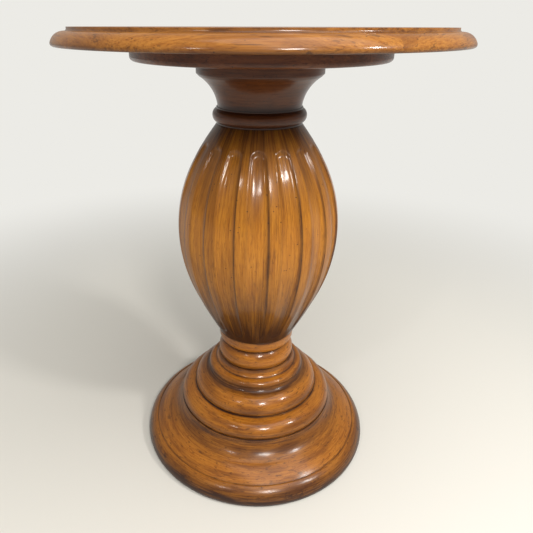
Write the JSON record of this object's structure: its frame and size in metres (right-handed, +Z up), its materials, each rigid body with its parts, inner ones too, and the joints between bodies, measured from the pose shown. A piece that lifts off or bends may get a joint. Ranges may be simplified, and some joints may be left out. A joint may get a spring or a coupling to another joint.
{
  "type": "pedestal table",
  "caption": "Round wooden side table on a fluted urn pedestal with a stepped turned base and a moulded top.",
  "frame": {"origin": "on the floor, at the centre of the base", "axes": "+Z up along the pedestal's turning axis; -Y towards the viewer of the picture"},
  "size_m": [0.5082, 0.5082, 0.641],
  "materials": {
    "top_wood": "stained hardwood under satin gloss lacquer",
    "rim_wood": "stained hardwood under gloss lacquer, distressed",
    "dark_wood": "dark glazed stained hardwood under gloss lacquer",
    "urn_wood": "stained hardwood, dark glaze in the flutes, gloss lacquer",
    "base_wood": "stained hardwood, dark glaze in the grooves, gloss lacquer",
    "hidden_wood": "unfinished wood",
    "zinc_steel": "zinc plated",
    "felt": "pressed felt"
  },
  "bodies": {
    "root": {"top_panel": "top_wood", "rim_segment_1": "rim_wood", "rim_segment_2": "rim_wood", "rim_segment_3": "rim_wood", "rim_segment_4": "rim_wood", "rim_segment_5": "rim_wood", "rim_segment_6": "rim_wood", "rim_splines": "hidden_wood", "subtop_disc": "dark_wood", "locating_dowels": "hidden_wood", "capital": "dark_wood", "neck_ring": "dark_wood", "urn": "urn_wood", "collar": "base_wood", "base_riser": "base_wood", "base_ring": "base_wood", "base_plinth": "base_wood", "tie_rod": "zinc_steel", "top_washer": "zinc_steel", "top_nut": "zinc_steel", "base_washer": "zinc_steel", "base_nut": "zinc_steel", "top_screws": "zinc_steel", "glides": "felt"}
  },
  "joints": []
}
